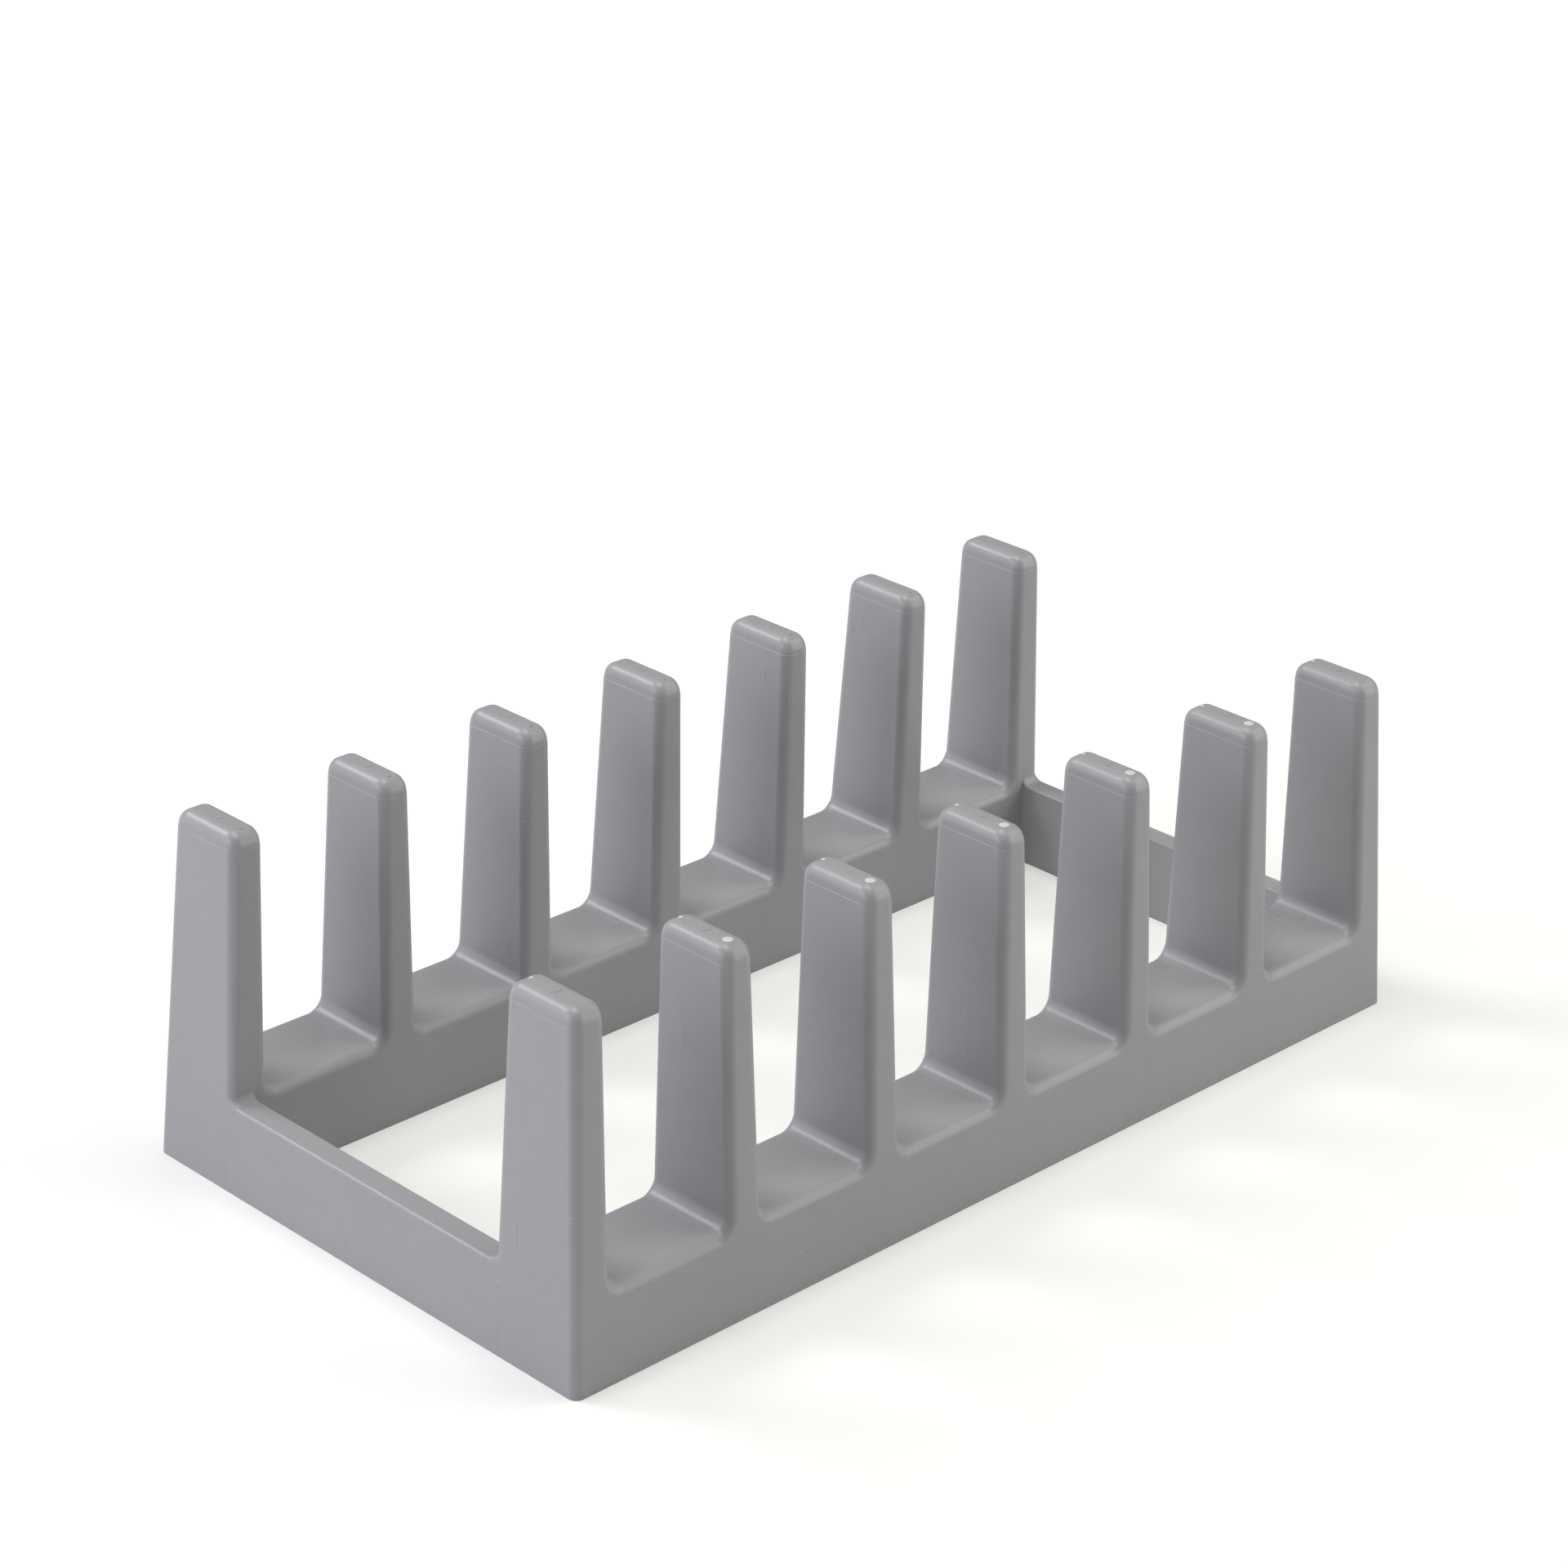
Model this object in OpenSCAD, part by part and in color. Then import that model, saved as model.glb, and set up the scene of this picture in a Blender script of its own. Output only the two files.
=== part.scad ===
// Pot lid rack: an open rectangular base with a row of upright posts along each long
// side. The whole rack is one thin-walled moulding, hollow from below. It is drawn as its
// named members, which meet face to face at flat planes: two end rails, two side rails,
// the posts that stand on the side rails, and the tips above each post's fine line.
// X runs along the rack, Y across it and Z up, with the origin under its middle.

/* [Rack] */
// Overall length at the foot
rack_l = 340; // [330:1:350]
// Overall width at the foot
rack_w = 180; // [165:1:210]
// Overall height
rack_h = 110; // [90:1:130]
// Height of the slot floors and of the end rails
floor_h = 27.5; // [22:0.5:34]
// Width of a side rail at the foot
rail_w = 34; // [28:0.5:40]
// Depth of an end rail at the foot
end_rail_d = 9.2; // [8:0.1:12]

/* [Posts] */
// Thickness of a middle post where it leaves the slot floor's fillets
post_t = 11.9; // [10:0.1:14]
// Thickness of an end post at the same height
end_post_t = 12.7; // [11.5:0.1:16]
// Lean of the outer long faces, per unit of height
outer_lean_share = 0.061; // [0.03:0.002:0.09]
// Lean of the inner long faces, per unit of height
inner_lean_share = 0.004; // [0.002:0.001:0.02]
// Lean of the end faces, per unit of height
end_lean_share = 0.049; // [0.025:0.002:0.06]
// Lean of the slot faces, per unit of height
slot_lean_share = 0.012; // [0.001:0.001:0.015]
// Lean of an end post over the slot beside it, per unit of height
end_slot_lean_share = 0.024; // [0.002:0.002:0.03]
// Extra reach of the first and the last slot towards the end posts
end_slot_extra = 1.7; // [0:0.1:3]

/* [Edges] */
// Radius of the rounded edges of the posts and slots
edge_r = 3; // [1.5:0.1:3.2]
// Radius across the end corners of a tip
tip_r = 5.1; // [3.4:0.1:6]
// Radius where a post runs into the slot floor
slot_r = 4.5; // [3.5:0.1:6]
// Radius where an end rail runs into its posts
end_r = 3; // [1.5:0.1:4.2]
// Gap from the shoulder of a tip down to its fine line
line_drop = 0.2; // [0.2:0.1:6]

/* [Walls] */
// Wall of the posts and side rails
wall_t = 2.2; // [1.6:0.1:2.6]
// Wall of the end rails
end_wall_t = 2; // [1.5:0.1:2.4]
// Thickness of the cross ribs under the side rails
rib_t = 1.6; // [1.2:0.1:2.2]
// Gap from a rib's lower edge down to the foot of the walls
rib_lift = 5; // [3:0.5:10]

/* [Hidden] */
// Posts along one side, and the slots between them
post_count = 7;
slot_count = post_count - 1;
// Steps of a rounded edge over a quarter turn
edge_steps = 4;
// Facets of a full turn on the end rails' fillets
round_fn = 48;
// Overrun of every cut
cut_over = 3;

// Heights of the flat planes at which posts and tips begin
seam_z = floor_h + slot_r;
tip_z = rack_h - tip_r - line_drop;
// Height up to which an end rail's fillet climbs the posts beside it
end_top_z = floor_h + end_r;
// Distance from one slot to the next, which shares out the length between the end posts
slot_pitch = (2 * (end_x(seam_z) - end_post_t - end_slot_extra) + post_t) / slot_count;
rack_colour = [0.63, 0.64, 0.66];

// Places of the faces at height z, on the left side, where Y is above zero
function end_x(z) = rack_l / 2 - end_lean_share * z;
function outer_y(z) = rack_w / 2 - outer_lean_share * z;
function inner_y(z) = rack_w / 2 - rail_w + inner_lean_share * z;
function end_rail_x(z) = rack_l / 2 - end_rail_d + inner_lean_share * z;

// Middle of slot k, counted from the near end, and half its width at height z
function slot_x(k) = (k - post_count / 2) * slot_pitch;
function slot_half(z) = (slot_pitch - post_t) / 2 + slot_lean_share * (z - seam_z);

// How far slot k reaches from its middle at height z, towards the near side -1 or the far
// side 1. On one side the first and the last slot have an end post, which leans over them.
function slot_reach(k, side, z) = k == (side < 0 ? 1 : slot_count) ?
    slot_half(seam_z) + end_slot_extra - end_slot_lean_share * (z - seam_z) : slot_half(z);

// Near and far face of post k at height z
function near_x(k, z) = k == 1 ? -end_x(z) : slot_x(k - 1) + slot_reach(k - 1, 1, z);
function far_x(k, z) = k == post_count ? end_x(z) : slot_x(k) - slot_reach(k, -1, z);

// A rounded edge of radius r at step j of its quarter turn, which starts on the face
// looking along the rack: its depth below that face, and below the face beside it
function edge_depth(r, j) = r * (1 - cos(90 * j / edge_steps));
function edge_inset(r, j) = r * (1 - sin(90 * j / edge_steps));

// One row across a side rail, from its inner to its outer face, at the place [x, z] of
// an outline whose face looks along [nx, nz]. The row's two edges are rounded.
function cross_row(x, z, nx, nz, inner_r = edge_r) = [
    for (j = [edge_steps : -1 : 0])
        let (d = edge_depth(inner_r, j), low = z - nz * d)
        [x - nx * d, inner_y(low) + edge_inset(inner_r, j), low],
    for (j = [0 : edge_steps])
        let (d = edge_depth(edge_r, j), low = z - nz * d)
        [x - nx * d, outer_y(low) - edge_inset(edge_r, j), low]
];

// True for a triangle whose corners all differ
function is_open(pts, f) =
    pts[f[0]] != pts[f[1]] && pts[f[1]] != pts[f[2]] && pts[f[2]] != pts[f[0]];

// A flat face through the listed points, without those that repeat the one before
function flat_face(pts, order) = [
    for (i = [0 : len(order) - 1])
        if (pts[order[i]] != pts[order[(i + 1) % len(order)]]) order[i]
];

// Closed skin through rings of equal length, with a flat face at each end. Seen against
// the way the rings follow each other, each ring runs clockwise.
module skin(rings) {
    n = len(rings[0]);
    pts = [for (ring = rings, p = ring) p];
    sides = [
        for (i = [0 : len(rings) - 2], j = [0 : n - 1])
            let (a = i * n + j, b = i * n + (j + 1) % n)
            each [[a, b, b + n], [a, b + n, a + n]]
    ];
    first = flat_face(pts, [for (j = [n - 1 : -1 : 0]) j]);
    last = flat_face(pts, [for (j = [0 : n - 1]) (len(rings) - 1) * n + j]);
    polyhedron(pts, concat([for (f = sides) if (is_open(pts, f)) f], [first, last]));
}

function last_of(list) = list[len(list) - 1];

// A row over the rail, closed by the corners of the rail's foot at the place foot_x. The
// row's last point stands twice, to match the rings of the rail's ends.
function rail_ring(row, foot_x) = concat(
    [[foot_x, inner_y(0), 0]], row, [last_of(row), [foot_x, outer_y(0), 0]]
);

// Rings from the top of a foot down its fillet to the floor of slot k. The side is -1 for
// the slot's near half and 1 for its far half.
function fillet_rings(k, side) = [
    for (i = side < 0 ? [0 : edge_steps] : [edge_steps : -1 : 0])
        let (turn = 90 * i / edge_steps)
        let (x = slot_x(k) + side * (slot_reach(k, side, seam_z) - slot_r * (1 - cos(turn))))
        rail_ring(cross_row(x, seam_z - slot_r * sin(turn), -side * cos(turn), sin(turn)), x)
];

// Rings of a rail's end face at side -1 or 1, from the foot up. Their inner edge is sharp
// as high as the end rail's fillet, which lies flush against it. The outer edge of the ring
// at the fillet's top is a corner of the next ring too, because it lies on the edge below.
function end_rings(side) =
    let (foot = cross_row(side * end_x(0), 0, side, 0, 0))
    let (fillet = cross_row(side * end_x(end_top_z), end_top_z, side, 0, 0))
    let (seam = cross_row(side * end_x(seam_z), seam_z, side, 0))
    let (rows = [foot, fillet, seam])
    [
        for (i = [0 : 2])
            concat([foot[0]], rows[i], [last_of(rows[min(i, 1)]), last_of(foot)])
    ];

function reversed(list) = [for (i = [len(list) - 1 : -1 : 0]) list[i]];

// Outer form of the left side rail with the feet of its posts
module side_rail_form() {
    skin(concat(
        end_rings(-1),
        [for (k = [1 : slot_count]) each concat(fillet_rings(k, -1), fillet_rings(k, 1))],
        reversed(end_rings(1))
    ));
}

// Plan ring of post k at height z. The long faces are drawn in by d and the narrow ones
// by e, and what is left of the corners' radius is r.
function post_ring(k, z, d = 0, e = 0, r = edge_r) = [
    for (corner = [[1, 1], [1, -1], [-1, -1], [-1, 1]], i = [0 : edge_steps])
        let (j = corner[0] == corner[1] ? edge_steps - i : i)
        let (face_x = corner[0] > 0 ? far_x(k, z) - d : near_x(k, z) + d)
        let (face_y = corner[1] > 0 ? outer_y(z) - e : inner_y(z) + e)
        [
            face_x - corner[0] * edge_depth(r, j),
            face_y - corner[1] * edge_inset(r, j),
            z
        ]
];

// How far a top edge of radius r is drawn in at height z
function top_inset(r, z) =
    z < rack_h - r ? 0 : r - sqrt(max(0, r * r - pow(z - rack_h + r, 2)));

// Heights of the rings of a tip
function tip_levels() = concat(
    [tip_z, rack_h - tip_r, rack_h - (tip_r + edge_r) / 2],
    [for (j = [0 : edge_steps]) rack_h - edge_r + edge_r * sin(90 * j / edge_steps)]
);

module post_form(k) {
    skin([post_ring(k, seam_z), post_ring(k, tip_z)]);
}

module tip_form(k) {
    skin([
        for (z = tip_levels())
            let (d = top_inset(edge_r, z))
            post_ring(k, z, d, top_inset(tip_r, z), edge_r - d)
    ]);
}

// Hollow of the posts and of the rail below them, seen across the rack
module hollow_outline() {
    deck_z = floor_h - wall_t;
    top_z = rack_h - wall_t;
    polygon([
        [-end_x(-cut_over) + wall_t, -cut_over],
        [end_x(-cut_over) - wall_t, -cut_over],
        [end_x(deck_z) - wall_t, deck_z],
        [-end_x(deck_z) + wall_t, deck_z]
    ]);
    for (k = [1 : post_count])
        polygon([
            [near_x(k, 0) + wall_t, 0],
            [far_x(k, 0) - wall_t, 0],
            [far_x(k, top_z) - wall_t, top_z],
            [near_x(k, top_z) + wall_t, top_z]
        ]);
}

// The same hollow seen along the rack, bevelled where the tip is round outside
module hollow_section() {
    turn_z = rack_h - tip_r;
    top_z = rack_h - wall_t;
    bevel = tip_r - wall_t;
    polygon([
        [inner_y(-cut_over) + wall_t, -cut_over],
        [outer_y(-cut_over) - wall_t, -cut_over],
        [outer_y(turn_z) - wall_t, turn_z],
        [outer_y(top_z) - wall_t - bevel, top_z],
        [inner_y(top_z) + wall_t + bevel, top_z],
        [inner_y(turn_z) + wall_t, turn_z]
    ]);
}

module side_hollow() {
    intersection() {
        translate([0, rack_w, 0]) rotate([90, 0, 0]) linear_extrude(rack_w) hollow_outline();
        translate([-rack_l, 0, 0])
            rotate([90, 0, 90]) linear_extrude(2 * rack_l) hollow_section();
    }
}

// Cross ribs under the middle of each slot, as far as the hollow reaches
module side_ribs() {
    for (k = [1 : slot_count])
        translate([slot_x(k) - rib_t / 2, inner_y(0), rib_lift])
            cube([rib_t, rail_w, floor_h - rib_lift]);
}

module side_rail() {
    difference() {
        side_rail_form();
        difference() {
            side_hollow();
            side_ribs();
        }
    }
}

module post(k) {
    difference() {
        post_form(k);
        side_hollow();
    }
}

module tip(k) {
    difference() {
        tip_form(k);
        side_hollow();
    }
}

// Outline of an end rail seen along the rack, with a fillet up to the posts at each end
module end_rail_outline() {
    fillet_y = inner_y(end_top_z) - end_r;
    difference() {
        polygon([
            [-inner_y(0), 0],
            [inner_y(0), 0],
            [inner_y(end_top_z), end_top_z],
            [-inner_y(end_top_z), end_top_z]
        ]);
        translate([-fillet_y, floor_h]) square([2 * fillet_y, end_r + cut_over]);
        for (side = [-1, 1])
            translate([side * fillet_y, end_top_z]) circle(r = end_r, $fn = round_fn);
    }
}

module end_rail_section(wall, foot_z, top_z) {
    polygon([
        [-end_x(foot_z) + wall, foot_z],
        [-end_rail_x(foot_z) - wall, foot_z],
        [-end_rail_x(top_z) - wall, top_z],
        [-end_x(top_z) + wall, top_z]
    ]);
}

module end_rail() {
    difference() {
        intersection() {
            translate([-rack_l, 0, 0])
                rotate([90, 0, 90]) linear_extrude(2 * rack_l) end_rail_outline();
            translate([0, rack_w, 0])
                rotate([90, 0, 0]) linear_extrude(2 * rack_w) end_rail_section(0, 0, end_top_z);
        }
        translate([0, rack_w, 0])
            rotate([90, 0, 0]) linear_extrude(2 * rack_w)
                end_rail_section(end_wall_t, -cut_over, floor_h - end_wall_t);
    }
}

module near_end_rail() {
    color(rack_colour) end_rail();
}

module far_end_rail() {
    color(rack_colour) mirror([1, 0, 0]) end_rail();
}

module left_side_rail() {
    color(rack_colour) side_rail();
}

module right_side_rail() {
    color(rack_colour) mirror([0, 1, 0]) side_rail();
}

module left_post(k) {
    color(rack_colour) post(k);
}

module left_tip(k) {
    color(rack_colour) tip(k);
}

module right_post(k) {
    color(rack_colour) mirror([0, 1, 0]) post(k);
}

module right_tip(k) {
    color(rack_colour) mirror([0, 1, 0]) tip(k);
}

near_end_rail();
far_end_rail();
left_side_rail();
right_side_rail();
for (k = [1 : post_count]) {
    left_post(k);
    left_tip(k);
    right_post(k);
    right_tip(k);
}
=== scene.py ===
import math

import bmesh
import bpy
import numpy as np
from mathutils import Matrix, Vector


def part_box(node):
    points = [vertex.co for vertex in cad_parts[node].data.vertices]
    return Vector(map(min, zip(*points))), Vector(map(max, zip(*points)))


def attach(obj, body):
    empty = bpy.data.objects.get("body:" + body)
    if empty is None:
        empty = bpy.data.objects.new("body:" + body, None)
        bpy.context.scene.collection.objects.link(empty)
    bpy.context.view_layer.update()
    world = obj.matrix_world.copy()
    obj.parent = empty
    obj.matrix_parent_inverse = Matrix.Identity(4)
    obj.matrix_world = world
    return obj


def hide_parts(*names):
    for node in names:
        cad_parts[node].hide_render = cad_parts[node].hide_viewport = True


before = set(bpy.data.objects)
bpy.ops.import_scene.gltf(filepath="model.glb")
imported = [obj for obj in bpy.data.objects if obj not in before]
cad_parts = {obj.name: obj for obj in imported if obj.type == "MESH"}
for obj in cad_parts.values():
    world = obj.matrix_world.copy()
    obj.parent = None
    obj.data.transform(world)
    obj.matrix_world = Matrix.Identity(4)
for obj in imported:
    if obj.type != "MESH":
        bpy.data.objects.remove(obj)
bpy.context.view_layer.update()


# Side rails: the two long members, box-shaped channels open below, of light grey
# polypropylene with a satin face. They are moulded in one with the feet of the posts:
# each slot is a U whose fillets and soft edge run on from the floor into the posts.
rail_low, rail_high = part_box("left_side_rail")
post_low, post_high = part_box("left_post_3")
tip_low, tip_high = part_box("left_tip_3")
post_count = 7
near_faces = [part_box(f"left_post_{k + 1}")[0].x for k in range(post_count)]
far_faces = [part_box(f"left_post_{k + 1}")[1].x for k in range(post_count)]

seam_z = rail_high.z
line_z = post_high.z
outer_lean = (rail_high.y - post_high.y) / seam_z
inner_lean = (post_low.y - rail_low.y) / seam_z
end_lean = (rail_high.x - far_faces[-1]) / seam_z
slot_lean = (tip_low.x - post_low.x) / (line_z - seam_z)
over_slot_lean = 0.024

# An end post's box ends where the post leans furthest over its slot, at the line. Less the
# lean, it gives the place of the face at the seam.
far_faces[0] -= over_slot_lean * (line_z - seam_z)
near_faces[-1] += over_slot_lean * (line_z - seam_z)
near_leans = [end_lean, *[slot_lean] * (post_count - 2), -over_slot_lean]

edge_r = 0.003
tip_edge_r = 0.0033
slot_r = 0.0045
wall = 0.0022
floor_z = seam_z - slot_r
deck_z = floor_z - wall

quarter = math.pi / 2
edge_steps, fillet_steps = 10, 16
edge_turn = np.linspace(0, quarter, edge_steps + 1)
fillet_turn = np.linspace(0, quarter, fillet_steps + 1)


def outer_y(z):
    """Outer long face: its foot, less the lean times the height."""
    return rail_high.y - outer_lean * z


def inner_y(z):
    """Inner long face: its foot, plus the lean times the height."""
    return rail_low.y + inner_lean * z


def end_x(z):
    """End face at the far end: its foot, less the lean times the height."""
    return rail_high.x - end_lean * z


def near_x(k, z):
    """Near face of post k: its place at the seam, plus its lean times the height above."""
    return near_faces[k] + near_leans[k] * (z - seam_z)


def far_x(k, z):
    """Far face of post k: its place at the seam, less the lean of the post that mirrors it
    times the height above."""
    return far_faces[k] - near_leans[-1 - k] * (z - seam_z)


def soft_r(z):
    """Radius of a post's edges, which grows evenly from the seam to the top."""
    return edge_r + (tip_edge_r - edge_r) * (z - seam_z) / (tip_high.z - seam_z)


def rounded_rows(outline, low_face, high_face, low_r, high_r):
    """Rows over a member from one side face to the other, one row for each outline point
    (a, z) with outward direction (na, nz). At the angle t of its quarter turn, an edge of
    radius r lies r(1 - cos t) below the outline and r(1 - sin t) in from the side face."""
    a, z, na, nz = (column[:, None] for column in outline.T)
    halves = []
    for face, radius, way in ((low_face, low_r, 1), (high_face, high_r, -1)):
        radius = np.broadcast_to(radius, len(outline))[:, None]
        depth = radius * (1 - np.cos(edge_turn))
        inset = radius * (1 - np.sin(edge_turn))
        height = z - nz * depth
        half = np.stack([a - na * depth, face(height) + way * inset, height], -1)
        halves.append(half[:, ::-way])
    return np.concatenate(halves, 1)


def plan_ring(west, east, south, north, z, radius):
    """Closed ring at height z: a rectangle whose corners are quarter circles, each point
    its corner's centre plus the radius times (cos t, sin t)."""
    turn = np.concatenate([edge_turn + corner * quarter for corner in range(4)])
    to_east, to_north = (np.repeat(side, len(edge_turn))
                         for side in ([1, 0, 0, 1], [1, 1, 0, 0]))
    x = np.where(to_east, east - radius, west + radius) + radius * np.cos(turn)
    y = np.where(to_north, north - radius, south + radius) + radius * np.sin(turn)
    ring = np.stack([x, y, np.full_like(x, z)], -1)
    return np.concatenate([ring, ring[:1]])


mark_root = 0.0003
mark_steps = 32


def round_mark(x, y, z, radius, height, rim):
    """Low round button on a face at height z, its root sunk in the face: rings whose radius
    shrinks by the rim times 1 - cos t while they rise by the height times sin t."""
    rise = np.concatenate([[-mark_root], height * np.sin(edge_turn)])[:, None]
    reach = radius - rim * np.concatenate([[0], 1 - np.cos(edge_turn)])[:, None]
    turn = np.linspace(0, 2 * math.pi, mark_steps + 1)
    return np.stack([x + reach * np.cos(turn), y + reach * np.sin(turn),
                     z + rise + 0 * turn], -1)


def face_between(edge):
    """Flat face inside a U-shaped edge: each point is joined to the one as far from the
    other end."""
    half = len(edge) // 2
    return np.stack([edge[:half], edge[::-1][:half]])


weld_gap = 1e-6
level_digits = 5
crease_angle = math.radians(35)


def moulding(name, node, sheets, mirror=(1, 1, 1), painted_glint_sheets=()):
    """One closed piece that stands for a node. Each sheet is a grid of points, with a mask
    of the squares to leave out. The sheets are welded, every flat opening that is left is
    filled at its height, and the faces are turned outwards. On the extra sheets, given
    last, a point attribute of 1 paints a highlight into the plastic's colour."""
    points, squares, painted_glint, first = [], [], [], 0
    for sheet in [*sheets, *painted_glint_sheets]:
        grid, gaps = sheet if isinstance(sheet, tuple) else (sheet, None)
        rows, columns = grid.shape[:2]
        at = first + np.arange(rows * columns).reshape(rows, columns)
        square = np.stack([at[:-1, :-1], at[1:, :-1], at[1:, 1:], at[:-1, 1:]], -1)
        squares.append(square.reshape(-1, 4) if gaps is None else square[~gaps])
        points.append(grid.reshape(-1, 3) * mirror)
        is_painted_glint = len(points) > len(sheets)
        painted_glint.append(np.full(rows * columns, float(is_painted_glint)))
        first += rows * columns
    mesh = bpy.data.meshes.new(name)
    mesh.from_pydata(np.concatenate(points), [], np.concatenate(squares))
    # Point attribute for the painted highlight: 1 on the extra sheets, 0 elsewhere.
    mesh.attributes.new("painted_glint", "FLOAT", "POINT").data.foreach_set(
        "value", np.concatenate(painted_glint))
    skin = bmesh.new()
    skin.from_mesh(mesh)
    bmesh.ops.remove_doubles(skin, verts=skin.verts, dist=weld_gap)
    rim = [edge for edge in skin.edges if edge.is_boundary]
    levels = [round(edge.verts[0].co.z, level_digits) for edge in rim]
    for level in sorted(set(levels)):
        flat = [edge for edge, height in zip(rim, levels) if height == level]
        bmesh.ops.triangle_fill(skin, edges=flat, use_beauty=True, normal=(0, 0, 1))
    bmesh.ops.recalc_face_normals(skin, faces=skin.faces)
    skin.to_mesh(mesh)
    skin.free()
    mesh.shade_smooth()
    mesh.set_sharp_from_angle(angle=crease_angle)
    mesh.materials.append(grey_plastic)
    piece = bpy.data.objects.new(name, mesh)
    bpy.context.scene.collection.objects.link(piece)
    even = piece.modifiers.new("even shading over flat faces", "WEIGHTED_NORMAL")
    even.keep_sharp = True
    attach(piece, "root")
    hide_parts(node)


class Wire:
    """An output socket of a material. Sums, differences and products of wires and numbers
    add Math nodes, and make() adds any other node."""

    def __init__(self, tree, socket=None):
        self.tree, self.socket = tree, socket

    def make(self, kind, settings, inputs, output=0):
        node = self.tree.nodes.new(kind)
        for key, value in settings.items():
            setattr(node, key, value)
        for key, value in inputs.items():
            if isinstance(value, Wire):
                self.tree.links.new(value.socket, node.inputs[key])
            else:
                node.inputs[key].default_value = value
        return Wire(self.tree, node.outputs[output] if node.outputs else None)

    def sum_of(self, operation, a, b):
        return self.make("ShaderNodeMath", {"operation": operation}, {0: a, 1: b})

    def __add__(self, other):
        return self.sum_of("ADD", self, other)

    def __radd__(self, other):
        return self.sum_of("ADD", other, self)

    def __sub__(self, other):
        return self.sum_of("SUBTRACT", self, other)

    def __rsub__(self, other):
        return self.sum_of("SUBTRACT", other, self)

    def __mul__(self, other):
        return self.sum_of("MULTIPLY", self, other)

    def __rmul__(self, other):
        return self.sum_of("MULTIPLY", other, self)

    def between(self, low, high):
        """0 below low, 1 above high, and smooth between."""
        return self.make("ShaderNodeMapRange", {"interpolation_type": "SMOOTHSTEP"},
                         {"Value": self, "From Min": low, "From Max": high})


def satin_polypropylene(name, colour, roughness):
    """Satin moulded plastic: clouds of slightly lighter and darker colour a few centimetres
    wide, a fine grain, faint sinks over the flat faces, thin rubs, short dark scuffs, a few
    pale specks, and a painted highlight at the small buttons of the mould."""
    material = bpy.data.materials.new(name)
    material.use_nodes = True
    tree = material.node_tree
    tree.nodes.clear()
    start = Wire(tree)
    place = start.make("ShaderNodeTexCoord", {}, {}, "Object")

    def noise(scale, detail, distortion=0.0, where=place):
        """Noise with features 1 / scale wide, in metres unless a mapping scales them."""
        return start.make("ShaderNodeTexNoise", {}, {
            "Vector": where, "Scale": scale, "Detail": detail, "Distortion": distortion})

    clouds = noise(28, detail=3)
    mottle = noise(240, detail=2)
    grain = noise(2600, detail=2)
    sinks = noise(45, detail=1)

    drawn = start.make("ShaderNodeMapping", {}, {
        "Vector": place, "Rotation": (0.3, 0.5, 0.2), "Scale": (60, 60, 1900)})
    streaks = noise(1.0, detail=2, distortion=0.4, where=drawn).between(0.66, 0.8)
    rubs = streaks * noise(60, detail=1).between(0.5, 0.62)

    dots = start.make("ShaderNodeTexVoronoi", {"feature": "F1"}, {
        "Vector": place, "Scale": 95.0})
    specks = (1 - dots.between(0.03, 0.045)) * noise(30, detail=0).between(0.55, 0.6)

    upright = start.make("ShaderNodeMapping", {}, {
        "Vector": place, "Scale": (900, 900, 90)})
    strokes = noise(1.0, detail=1, distortion=0.3, where=upright).between(0.68, 0.76)
    scuffs = strokes * noise(55, detail=1).between(0.57, 0.63)
    # Painted highlight: the mould's nubs and buttons are lightened where the point
    # attribute is 1.
    painted_glint = start.make("ShaderNodeAttribute", {"attribute_name": "painted_glint"}, {}, "Fac")

    tone = 0.93 + 0.08 * clouds + 0.06 * mottle + 0.03 * rubs - 0.14 * scuffs
    shade = start.make("ShaderNodeMix", {"data_type": "RGBA", "blend_type": "MULTIPLY"}, {
        "Factor": 1.0, "A": (*colour, 1),
        "B": start.make("ShaderNodeCombineColor", {}, {
            "Red": tone, "Green": tone, "Blue": tone})}, "Result")
    # The pale specks are dust on the plastic. The rest of this mix towards pale grey is the
    # painted highlight on the nubs and buttons.
    specks_and_painted_glint = specks * 0.25 + painted_glint * 0.75
    pale = start.make("ShaderNodeMix", {"data_type": "RGBA", "blend_type": "MIX"}, {
        "Factor": specks_and_painted_glint, "A": shade, "B": (0.8, 0.8, 0.8, 1)}, "Result")

    fine = start.make("ShaderNodeBump", {}, {
        "Height": grain, "Strength": 0.12, "Distance": 0.00004})
    broad = start.make("ShaderNodeBump", {}, {
        "Height": sinks, "Strength": 0.25, "Distance": 0.0006, "Normal": fine})
    gloss = roughness - 0.06 * rubs + 0.08 * (clouds - 0.5) + 0.05 * (mottle - 0.5)
    surface = start.make("ShaderNodeBsdfPrincipled", {}, {
        "Base Color": pale, "Roughness": gloss, "Normal": broad,
        "IOR": 1.49, "Specular IOR Level": 0.5})
    start.make("ShaderNodeOutputMaterial", {}, {"Surface": surface})
    return material


grey_plastic = satin_polypropylene(
    "grey polypropylene", colour=(0.361, 0.37, 0.391), roughness=0.34)

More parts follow.
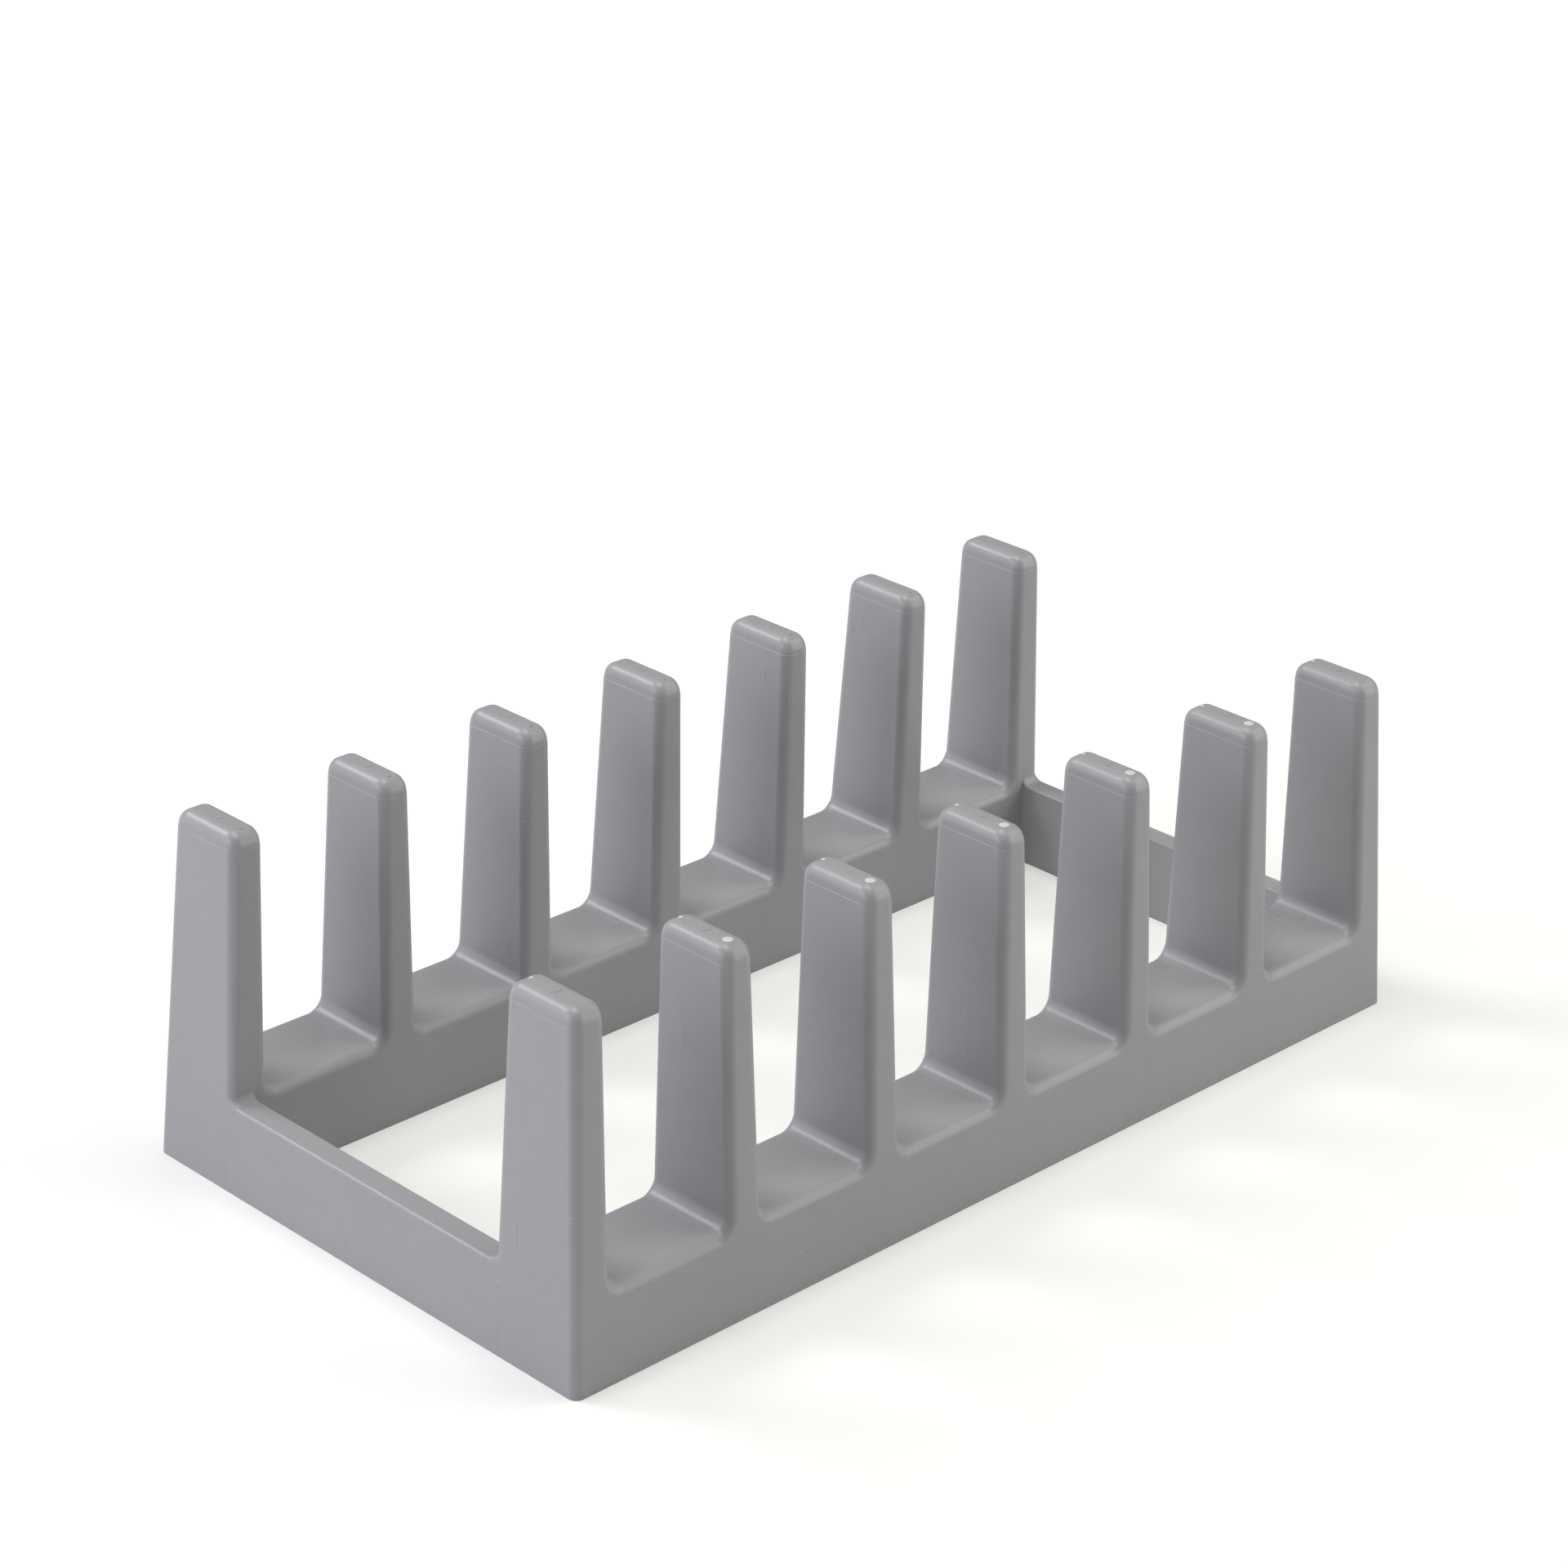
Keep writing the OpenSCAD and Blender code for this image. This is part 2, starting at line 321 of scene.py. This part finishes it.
# Outlines seen from the side: up the near end, down into each slot and out again, and down
# the far end. The skin's outline also has the outward direction at each point.
rail_outline = [[[-end_x(0), 0, -1, 0], [-end_x(seam_z), seam_z, -1, 0]]]
hollow_outline = [[[-end_x(0) + wall, 0], [-end_x(seam_z) + wall, seam_z]]]
for k in range(post_count - 1):
    middle = (far_faces[k] + near_faces[k + 1]) / 2
    across = (near_faces[k + 1] - far_faces[k]) / 2 - slot_r * (1 - np.cos(fillet_turn))
    down = seam_z - slot_r * np.sin(fillet_turn)
    for way in (-1, 1):
        fillet = np.stack([middle + way * across, down,
                           -way * np.cos(fillet_turn), np.sin(fillet_turn)], -1)
        rail_outline.append(fillet[::-way])
    hollow_outline.append([
        [far_x(k, seam_z) - wall, seam_z], [far_x(k, deck_z) - wall, deck_z],
        [near_x(k + 1, deck_z) + wall, deck_z], [near_x(k + 1, seam_z) + wall, seam_z]])
rail_outline.append([[end_x(seam_z), seam_z, 1, 0], [end_x(0), 0, 1, 0]])
hollow_outline.append([[end_x(seam_z) - wall, seam_z], [end_x(0) - wall, 0]])
rail_outline = np.concatenate(rail_outline)
hollow_outline = np.concatenate(hollow_outline)

# The squares of both skins that lie under a post are left out, for its walls to go on.
rail_rows = rounded_rows(rail_outline, inner_y, outer_y, edge_r, edge_r)
foot_x = rail_outline[:, 0].copy()
foot_x[:2], foot_x[-2:] = rail_rows[0, 0, 0], rail_rows[-1, 0, 0]
foot = np.stack([foot_x, 0 * foot_x, 0 * foot_x], -1)[:, None]
rail_skin = np.concatenate(
    [foot + (0, inner_y(0), 0), rail_rows, foot + (0, outer_y(0), 0)], 1)
under_post = np.zeros((len(rail_skin) - 1, rail_skin.shape[1] - 1), bool)
under_post[1::2 * len(fillet_turn), 1:-1] = True

# The hollow's outline has four points at each slot, and its side walls go down to the foot.
hollow_x, hollow_z = hollow_outline.T
foot_z = 0 * hollow_x
hollow_skin = np.stack([
    np.stack([hollow_x, foot_z + inner_y(0) + wall, foot_z], -1),
    np.stack([hollow_x, inner_y(hollow_z) + wall, hollow_z], -1),
    np.stack([hollow_x, outer_y(hollow_z) - wall, hollow_z], -1),
    np.stack([hollow_x, foot_z + outer_y(0) - wall, foot_z], -1)], 1)
into_post = np.zeros((len(hollow_skin) - 1, hollow_skin.shape[1] - 1), bool)
into_post[1::4, 1] = True

# A cross rib under each slot, its edges set a little into the walls and the floor.
rib_half, rib_foot, rib_grip = 0.0008, 0.005, 0.0003
ribs = []
for k in range(post_count - 1):
    middle = (far_faces[k] + near_faces[k + 1]) / 2
    ribs.append(np.stack([plan_ring(
        middle - rib_half, middle + rib_half, inner_y(z) + wall - rib_grip,
        outer_y(z) - wall + rib_grip, z, radius=0) for z in (rib_foot, deck_z + rib_grip)]))

# Round marks of the mould's pins on the floors of the last two slots.
pin_r, pin_rise, pin_rim = 0.0023, 0.0001, 0.0002
pins = [round_mark(face - slot_r - pin_r, inner_y(floor_z) + edge_r + pin_r, floor_z, pin_r,
                   pin_rise, pin_rim) for face in near_faces[-2:]]
for side, way in (("left", 1), ("right", -1)):
    moulding(f"{side}_side_rail_skin", f"{side}_side_rail",
             [(rail_skin, under_post), (hollow_skin, into_post), *ribs, *pins],
             (1, way, 1))


# End rails: thin channels of the same moulding that tie the two side rails at each end.
# Their outer face is flush with the end posts. The top edges are crisp, and a small
# fillet at each end climbs the post, where the crisp edge opens into the post's soft one.
end_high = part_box("near_end_rail")[1]
climb_z = end_high.z
climb_r = climb_z - floor_z
crisp_r = 0.001
back_r = 0.0005
end_wall = 0.002
channel_gap = 0.0001


def front_x(z):
    """Outer face of the near end rail, flush with the end posts."""
    return -end_x(z)


def back_x(z):
    """Inner face of the near end rail: its foot, less the lean times the height."""
    return end_high.x - inner_lean * z


# Outline seen along the rack: down the fillet at one end, along the top, and up the other.
# The outer edge's radius opens from the crisp one to the post's with the square of sin t.
climb_y = inner_y(climb_z) - climb_r
climb = np.stack([climb_y + climb_r * np.sin(fillet_turn),
                  climb_z - climb_r * np.cos(fillet_turn),
                  -np.sin(fillet_turn), np.cos(fillet_turn)], -1)
end_outline = np.concatenate([climb[::-1] * (-1, 1, -1, 1), climb])
opening = np.sin(fillet_turn) ** 2 * (edge_r - crisp_r) + crisp_r
end_rows = rounded_rows(end_outline, front_x, back_x,
                        np.concatenate([opening[::-1], opening]), back_r)[..., [1, 0, 2]]
end_foot = end_rows[:, [0, -1]] * (1, 1, 0)
end_foot[:, 0, 0], end_foot[:, 1, 0] = front_x(0), back_x(0)
end_skin = np.concatenate([end_foot[:, :1], end_rows, end_foot[:, 1:]], 1)
channel = np.stack([plan_ring(
    front_x(z) + end_wall, back_x(z) - end_wall, channel_gap - inner_y(z),
    inner_y(z) - channel_gap, z, radius=0) for z in (0, floor_z - end_wall)])
for end, way in (("near", 1), ("far", -1)):
    moulding(f"{end}_end_rail_skin", f"{end}_end_rail",
             [end_skin, face_between(end_skin[0]), face_between(end_skin[-1]), channel],
             (way, 1, 1))


# Posts: fourteen hollow uprights with soft corners, leaning in a little as they rise so
# that the moulding leaves its mould. The end posts lean out over the slot beside them. A
# fine step near the top of each post is the join between two parts of the mould.
line_step = 0.00008
for k in range(post_count):
    shaft = np.stack([plan_ring(
        near_x(k, z) + step, far_x(k, z) - step, inner_y(z) + step, outer_y(z) - step, z,
        soft_r(z) - step) for z, step in (
            (seam_z, 0), (line_z - line_step, 0), (line_z, line_step))])
    bore = np.stack([plan_ring(
        near_x(k, z) + wall, far_x(k, z) - wall, inner_y(z) + wall, outer_y(z) - wall, z,
        radius=0) for z in (seam_z, line_z)])
    for side, way in (("left", 1), ("right", -1)):
        moulding(f"{side}_post_{k + 1}_skin", f"{side}_post_{k + 1}", [shaft, bore],
                 (1, way, 1))


# Tips: the tops of the posts above the fine step, with wide round shoulders at both ends.
# Marks of the mould on each are a nub near the inner end and a thin ring in the middle. On
# the right side the nubs, and a button near each middle post's outer end, carry a painted
# highlight.
nub_r, nub_rise, nub_rim, nub_inset = 0.0006, 0.0002, 0.0005, 0.0008
ring_r, ring_rise, ring_rim = 0.0014, 0.00016, 0.00012
button_r, button_rim = 0.0015, 0.0008
top_z = tip_high.z - nub_rise
shoulder_r = 0.0049
shoulder_z = top_z - shoulder_r

# Outline seen along the rack: up from the line, over both shoulders, and down to the line.
shoulder = np.stack([shoulder_r * (1 - np.cos(fillet_turn)),
                     shoulder_z + shoulder_r * np.sin(fillet_turn),
                     -np.cos(fillet_turn), np.sin(fillet_turn)], -1)
tip_outline = np.concatenate([
    [[inner_y(line_z) + line_step, line_z, -1, 0]],
    shoulder + (inner_y(shoulder_z) + line_step, 0, 0, 0),
    shoulder[::-1] * (-1, 1, -1, 1) + (outer_y(shoulder_z) - line_step, 0, 0, 0),
    [[outer_y(line_z) - line_step, line_z, 1, 0]]])
tip_radii = soft_r(tip_outline[:, 1])
ceiling_z = top_z - wall
bevel = shoulder_r - wall
for k in range(post_count):
    tip_rows = rounded_rows(
        tip_outline, lambda z: near_x(k, z) + line_step, lambda z: far_x(k, z) - line_step,
        tip_radii, tip_radii)[..., [1, 0, 2]]
    attic = np.stack([plan_ring(
        near_x(k, z) + wall, far_x(k, z) - wall, inner_y(z) + wall + slope,
        outer_y(z) - wall - slope, z, radius=0)
        for z, slope in ((line_z, 0), (shoulder_z, 0), (ceiling_z, bevel))])
    middle_x = (near_x(k, top_z) + far_x(k, top_z)) / 2
    inner_end, outer_end = inner_y(top_z) + shoulder_r, outer_y(top_z) - shoulder_r
    nub = round_mark(middle_x, inner_end - nub_inset, top_z, nub_r, nub_rise, nub_rim)
    ring = round_mark(
        middle_x, (inner_end + outer_end) / 2, top_z, ring_r, ring_rise, ring_rim)
    button = round_mark(middle_x, outer_end, top_z, button_r, nub_rise, button_rim)
    sheets = [tip_rows, face_between(tip_rows[:, 0]), face_between(tip_rows[:, -1]),
              attic, ring]
    # On the right tips the nubs and the middle posts' buttons carry a painted highlight.
    pale = [nub] if k in (0, post_count - 1) else [nub, button]
    moulding(f"left_tip_{k + 1}_skin", f"left_tip_{k + 1}", [*sheets, nub])
    moulding(f"right_tip_{k + 1}_skin", f"right_tip_{k + 1}", sheets, (1, -1, 1), pale)


# Floor and backdrop: a plain pale floor that the camera sees turn white away from the rack,
# and that keeps the rack's soft shadow, in a world that the camera sees as white.
near_glow = 0.25
glow_start, glow_end = 0.4, 1.4
floor_mesh = bpy.data.meshes.new("floor")
reach = 4.0
floor_mesh.from_pydata(
    [(-reach, -reach, 0), (reach, -reach, 0), (reach, reach, 0), (-reach, reach, 0)],
    [], [(0, 1, 2, 3)])
floor_paint = bpy.data.materials.new("floor paint")
floor_paint.use_nodes = True
floor_paint.node_tree.nodes.clear()
paint = Wire(floor_paint.node_tree)
seen = paint.make("ShaderNodeLightPath", {}, {}, "Is Camera Ray")
matt = paint.make("ShaderNodeBsdfDiffuse", {}, {"Color": (0.8, 0.8, 0.8, 1)})
spot = paint.make("ShaderNodeTexCoord", {}, {}, "Object")
away = paint.make("ShaderNodeVectorMath", {"operation": "LENGTH"}, {0: spot}, "Value")
glow = paint.make("ShaderNodeEmission", {}, {
    "Color": (1, 1, 1, 1),
    "Strength": seen * (near_glow + (1 - near_glow) * away.between(glow_start, glow_end))})
paint.make("ShaderNodeOutputMaterial", {}, {
    "Surface": paint.make("ShaderNodeAddShader", {}, {0: matt, 1: glow})})
floor_mesh.materials.append(floor_paint)
floor = bpy.data.objects.new("floor", floor_mesh)
bpy.context.scene.collection.objects.link(floor)

# World: white to the camera, and a faint even light on the rack.
world = bpy.data.worlds.new("studio")
bpy.context.scene.world = world
world.use_nodes = True
world.node_tree.nodes.clear()
room = Wire(world.node_tree)
open_sky = room.make("ShaderNodeLightPath", {}, {}, "Is Camera Ray")
ambient = 0.08
room.make("ShaderNodeOutputWorld", {}, {"Surface": room.make("ShaderNodeBackground", {}, {
    "Color": (1, 1, 1, 1), "Strength": ambient + open_sky * (1 - ambient)})})


# Lamps: broad softboxes round the rack. Each has its direction from the rack's middle, its
# distance, width and height in metres, its power in watts, and its colour.
rack_middle = Vector((0, 0, 0.06))


def softbox(name, direction, distance, width, height, power, colour):
    """Area lamp in the given direction from the rack, facing it."""
    lamp = bpy.data.lights.new(name, "AREA")
    lamp.shape, lamp.size, lamp.size_y = "RECTANGLE", width, height
    lamp.energy, lamp.color = power, colour
    light = bpy.data.objects.new(name, lamp)
    way = Vector(direction).normalized()
    light.location = rack_middle + way * distance
    light.rotation_euler = way.to_track_quat("Z", "Y").to_euler()
    bpy.context.scene.collection.objects.link(light)


softbox("left softbox", (-1, 0.22, 0.35), 2.4, 1.5, 1.5, 19.8, (0.975, 0.977, 1))
softbox("left rear softbox", (-1, 0.9, 0.35), 1.6, 1, 1, 2.5, (0.783, 0.738, 1))
softbox("high rear softbox", (-0.35, 0.66, 0.64), 2.4, 0.9, 0.9, 20.2, (1, 0.965, 0.985))
softbox("high right softbox", (0.66, -0.35, 0.64), 1.6, 0.6, 0.6, 4, (1, 0.95, 0.85))
softbox("right rear softbox", (0.9, -1, 0.35), 1.6, 1, 1, 8, (0.99, 0.96, 0.96))
softbox("top softbox", (0, 0, 1), 1.6, 1, 1, 14, (1, 0.985, 0.9))

# Camera: a long lens, aimed down at the corner between the near end and the right side.
frame_px = 1920
sensor_mm = 36
focal_px = 4985.2
azimuth, elevation, roll = (math.radians(angle) for angle in (-44.816, 24.398, 1.52))
aim = Vector((0, 0.00837, 0.09275))
camera_distance = 1.19588

# Its axes: back, from the aim to the camera, then right and up, both turned by the roll.
back = Vector((-math.cos(elevation) * math.cos(azimuth),
               math.cos(elevation) * math.sin(azimuth), math.sin(elevation)))
right = (-back).cross(Vector((0, 0, 1))).normalized()
up = right.cross(-back)
turned_right = right * math.cos(roll) + up * math.sin(roll)
turned_up = up * math.cos(roll) - right * math.sin(roll)
lens = bpy.data.cameras.new("camera")
lens.sensor_width = sensor_mm
lens.lens = sensor_mm * focal_px / frame_px
lens.clip_start, lens.clip_end = 0.05, 50
camera = bpy.data.objects.new("camera", lens)
camera.matrix_world = Matrix.Translation(aim + back * camera_distance) @ Matrix(
    (turned_right, turned_up, back)).transposed().to_4x4()
bpy.context.scene.collection.objects.link(camera)
bpy.context.scene.camera = camera
bpy.context.scene.view_settings.view_transform = "Standard"
